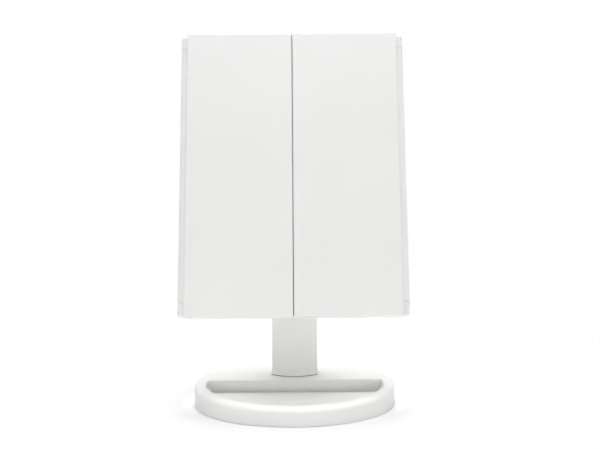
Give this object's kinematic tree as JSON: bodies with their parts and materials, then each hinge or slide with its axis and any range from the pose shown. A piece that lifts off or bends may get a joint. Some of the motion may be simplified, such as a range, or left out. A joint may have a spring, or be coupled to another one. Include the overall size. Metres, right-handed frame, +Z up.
{
  "type": "tri-fold lighted makeup mirror",
  "caption": "White tabletop makeup mirror with two folding wing doors, light strips beside the centre mirror, a tilting head on a flat neck and an oval base with a tray.",
  "frame": {"origin": "on the table, under the middle of the object's bounding box, level with the underside of the rubber feet", "axes": "+Z up, -Y to the front where the user sits, +X to the viewer's right"},
  "size_m": [0.176, 0.1206, 0.2881],
  "materials": {
    "shell": "satin white moulded plastic",
    "cover": "matt off-white plastic",
    "steel": "zinc-plated steel",
    "rubber": "grey rubber",
    "friction": "dark acetal",
    "silver_glass": "silvered glass",
    "diffuser": "frosted white plastic",
    "board": "green circuit board",
    "white_board": "white circuit board",
    "led": "yellow phosphor diode",
    "brass": "brass",
    "black": "black plastic",
    "connector": "ivory nylon",
    "cell": "battery jacket, plain"
  },
  "bodies": {
    "base": {"base_shell": "shell", "base_cover": "cover", "base_weights": "steel", "rubber_feet": "rubber", "cover_screws": "steel", "neck_front_shell": "shell", "neck_rear_shell": "shell", "neck_screws": "steel", "neck_foot_screws": "steel", "friction_washers": "friction"},
    "head": {"hinge_bracket": "steel", "bracket_screws": "steel", "hinge_shaft": "steel", "spring_washer": "steel", "lock_nut": "steel", "hinge_caps": "shell", "centre_frame": "shell", "centre_mirror": "silver_glass", "left_light_window": "diffuser", "right_light_window": "diffuser", "left_led_board": "white_board", "right_led_board": "white_board", "left_leds": "led", "right_leds": "led", "touch_electrode": "brass", "control_board": "board", "controller_chip": "black", "storage_capacitor": "black", "lead_sockets": "connector", "board_screws": "steel", "charging_socket": "steel", "socket_tongue": "black", "switch_body": "black", "back_cover": "shell", "back_cover_screws": "steel", "battery_cells": "cell", "battery_contacts": "steel", "left_hinge_pins": "steel", "right_hinge_pins": "steel"},
    "switch_slider": {"switch_slider": "shell"},
    "battery_door": {"battery_door": "shell"},
    "left_wing": {"left_wing_cover": "shell", "left_wing_frame": "shell", "left_strong_mirror": "silver_glass", "left_weak_mirror": "silver_glass", "left_hinge_bushes": "brass"},
    "right_wing": {"right_wing_cover": "shell", "right_wing_frame": "shell", "right_wing_mirror": "silver_glass", "right_hinge_bushes": "brass"}
  },
  "joints": [
    {"name": "head_tilt", "type": "hinge", "parent": "base", "child": "head", "pos_m": [0, 0.03373, 0.1344], "axis": [-1, 0, 0], "range_deg": [-15, 45]},
    {"name": "left_wing_swing", "type": "hinge", "parent": "head", "child": "left_wing", "pos_m": [-0.084, 0.01259, 0.17837], "axis": [0, -0.2588, -0.9659], "range_deg": [0, 180]},
    {"name": "right_wing_swing", "type": "hinge", "parent": "head", "child": "right_wing", "pos_m": [0.084, 0.01259, 0.17837], "axis": [0, 0.2588, 0.9659], "range_deg": [0, 180]},
    {"name": "power_switch_slide", "type": "slide", "parent": "head", "child": "switch_slider", "axis": [1, 0, 0], "range_m": [0, 0.003]},
    {"name": "battery_door_lift", "type": "slide", "parent": "head", "child": "battery_door", "axis": [0, 0.9659, -0.2588], "range_m": [0, 0.03]}
  ]
}
